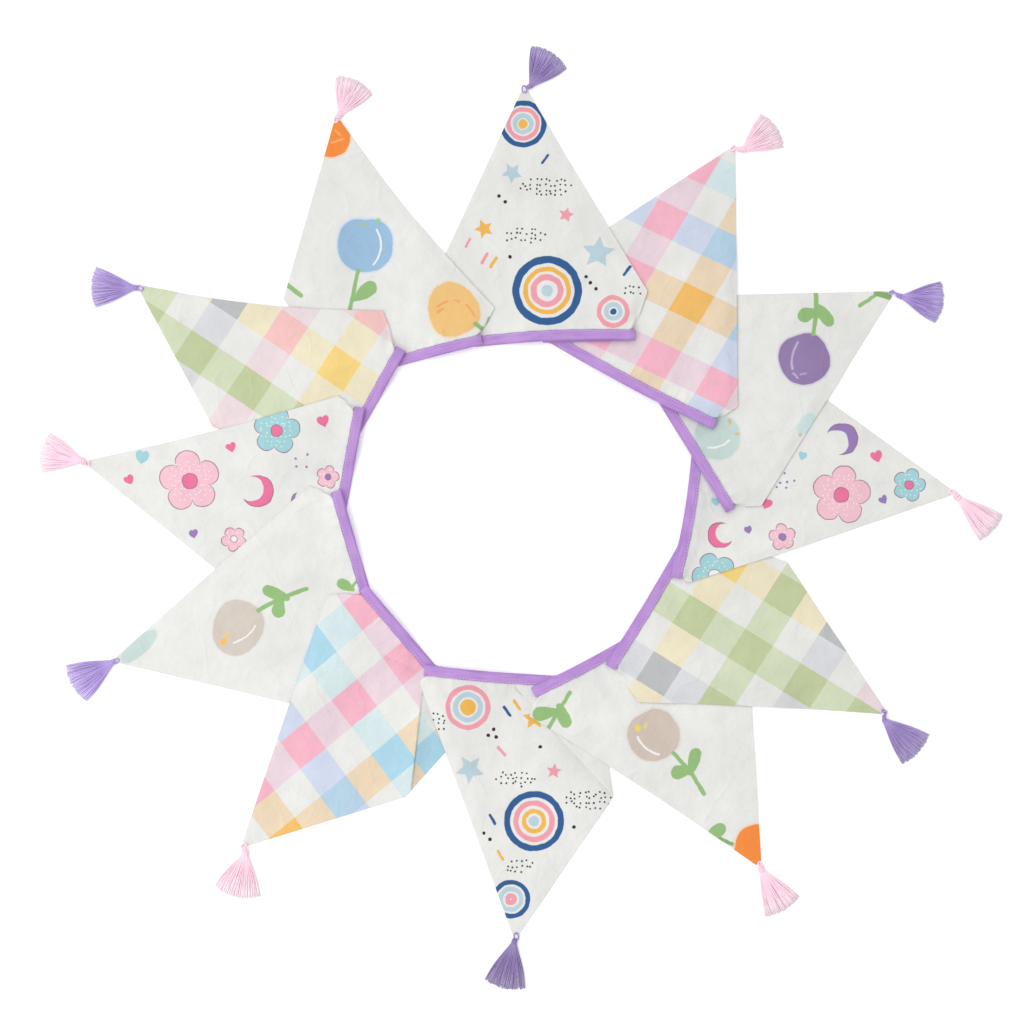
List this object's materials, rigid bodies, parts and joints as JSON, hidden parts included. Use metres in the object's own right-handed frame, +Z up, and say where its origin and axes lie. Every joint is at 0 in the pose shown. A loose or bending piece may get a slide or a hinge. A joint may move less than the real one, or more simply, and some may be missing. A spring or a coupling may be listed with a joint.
{
  "type": "fabric bunting",
  "caption": "Pennant bunting of printed cotton on a folded lilac binding tape, a yarn tassel at each tip, laid flat in a closed ring with the tips outwards.",
  "frame": {"origin": "on the floor under the middle of the laid-out bunting", "axes": "+Z up from the floor the bunting lies on, +Y towards the top of the ring, +X towards its right"},
  "size_m": [0.965, 0.9462, 0.0071],
  "materials": {
    "rings": "white cotton printed with rings, stars and dots",
    "tulips": "white cotton printed with tulips",
    "blossoms": "white cotton printed with pink and turquoise blossoms",
    "pink_check": "cotton printed with a pastel check",
    "green_check": "cotton printed with a pastel check",
    "tape": "lilac satin-faced binding tape",
    "purple_yarn": "matt yarn",
    "pink_yarn": "matt yarn"
  },
  "bodies": {
    "root": {"pennant_01": "rings", "pennant_02": "pink_check", "pennant_03": "tulips", "pennant_04": "blossoms", "pennant_05": "green_check", "pennant_06": "tulips", "pennant_07": "rings", "pennant_08": "pink_check", "pennant_09": "tulips", "pennant_10": "blossoms", "pennant_11": "green_check", "pennant_12": "tulips", "binding_tape": "tape", "tassel_01": "purple_yarn", "tassel_02": "pink_yarn", "tassel_03": "purple_yarn", "tassel_04": "pink_yarn", "tassel_05": "purple_yarn", "tassel_06": "pink_yarn", "tassel_07": "purple_yarn", "tassel_08": "pink_yarn", "tassel_09": "purple_yarn", "tassel_10": "pink_yarn", "tassel_11": "purple_yarn", "tassel_12": "pink_yarn"}
  },
  "joints": []
}
